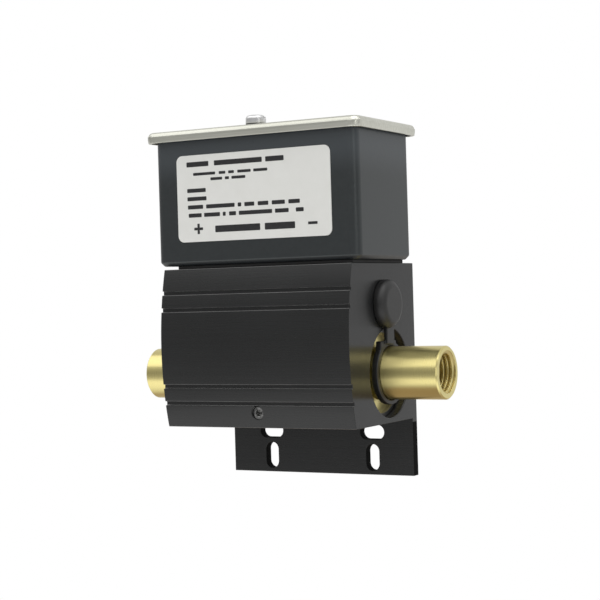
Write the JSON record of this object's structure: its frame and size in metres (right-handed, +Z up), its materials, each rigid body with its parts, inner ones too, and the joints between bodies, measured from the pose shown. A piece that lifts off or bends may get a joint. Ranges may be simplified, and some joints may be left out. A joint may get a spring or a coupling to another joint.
{
  "type": "differential pressure switch",
  "caption": "Wall-mounted differential pressure switch: black extruded sensor body, brass threaded ports at both ends, tethered rubber adjuster plug, switch box with bright lid.",
  "frame": {"origin": "midway between the two level slots, on the plane of the back", "axes": "+X along the ports to the low pressure side, +Y into the wall, +Z up"},
  "size_m": [0.1016, 0.0446, 0.1106],
  "materials": {
    "anodised_black": "black anodised, satin",
    "housing_black": "black paint, smooth satin",
    "brass": "turned, satin",
    "lid_steel": "bright pressed sheet",
    "screw_bright": "bright plated",
    "steel": "zinc plated",
    "spring_steel": "oiled dark",
    "screw_black": "black oxide",
    "capsule": "turned",
    "rubber_black": "matt",
    "rubber_grey": "matt, moulded",
    "diaphragm": "matt",
    "switch_case": "moulded",
    "switch_plunger": "moulded",
    "label": "printed film"
  },
  "bodies": {
    "switch_unit": {"sensor_body": "anodised_black", "low_port": "brass", "high_port": "brass", "retaining_ring_low": "spring_steel", "retaining_ring_high": "spring_steel", "diaphragm_low": "diaphragm", "diaphragm_high": "diaphragm", "sensing_capsule": "capsule", "set_screw": "screw_black", "lever_carrier": "steel", "pivot_pin": "steel", "range_spring": "spring_steel", "base_gasket": "rubber_black", "switch_housing": "housing_black", "housing_screws": "steel", "switch_case": "switch_case", "switch_terminals": "brass", "terminal_screws": "steel", "switch_bracket": "steel", "switch_screws": "steel", "label": "label"},
    "cover": {"lid": "lid_steel", "lid_gasket": "rubber_black", "lid_screws": "screw_bright", "lid_washers": "rubber_black"},
    "plug": {"access_plug": "rubber_grey"},
    "shuttle": {"push_rod": "steel", "diaphragm_plate_low": "steel", "diaphragm_plate_high": "steel"},
    "crank": {"lever": "steel"},
    "plunger": {"switch_plunger": "switch_plunger"},
    "seat": {"spring_seat": "steel"},
    "adjuster": {"adjusting_screw": "steel"}
  },
  "joints": [
    {"name": "cover_lift", "type": "slide", "parent": "switch_unit", "child": "cover", "axis": [0, 0, 1], "range_m": [0, 0.05]},
    {"name": "plug_pull", "type": "slide", "parent": "switch_unit", "child": "plug", "axis": [1, 0, 0], "range_m": [0, 0.01]},
    {"name": "shuttle_slide", "type": "slide", "parent": "switch_unit", "child": "shuttle", "axis": [1, 0, 0], "range_m": [0, 0.0016], "stiffness_N_per_m": 800, "springref_m": -0.005, "deforming": ["diaphragm_low", "diaphragm_high", "range_spring"]},
    {"name": "lever_turn", "type": "hinge", "parent": "switch_unit", "child": "crank", "pos_m": [0, -0.0202, 0.0484], "axis": [0, -1, 0], "range_deg": [0, 3.3]},
    {"name": "plunger_press", "type": "slide", "parent": "switch_unit", "child": "plunger", "axis": [0, 0, 1], "range_m": [0, 0.0008]},
    {"name": "seat_slide", "type": "slide", "parent": "switch_unit", "child": "seat", "axis": [1, 0, 0], "range_m": [-0.0025, 0.0025], "deforming": ["range_spring"]},
    {"name": "adjust_turn", "type": "hinge", "parent": "seat", "child": "adjuster", "pos_m": [0.0202, -0.0212, 0.0401], "axis": [1, 0, 0], "range_deg": [-720, 720]}
  ],
  "couplings": [
    {"joint": "lever_turn", "follows": "shuttle_slide", "rad_per_m": 34.483},
    {"joint": "plunger_press", "follows": "shuttle_slide", "ratio": 0.46552},
    {"joint": "adjust_turn", "follows": "seat_slide", "rad_per_m": 5026.5}
  ]
}
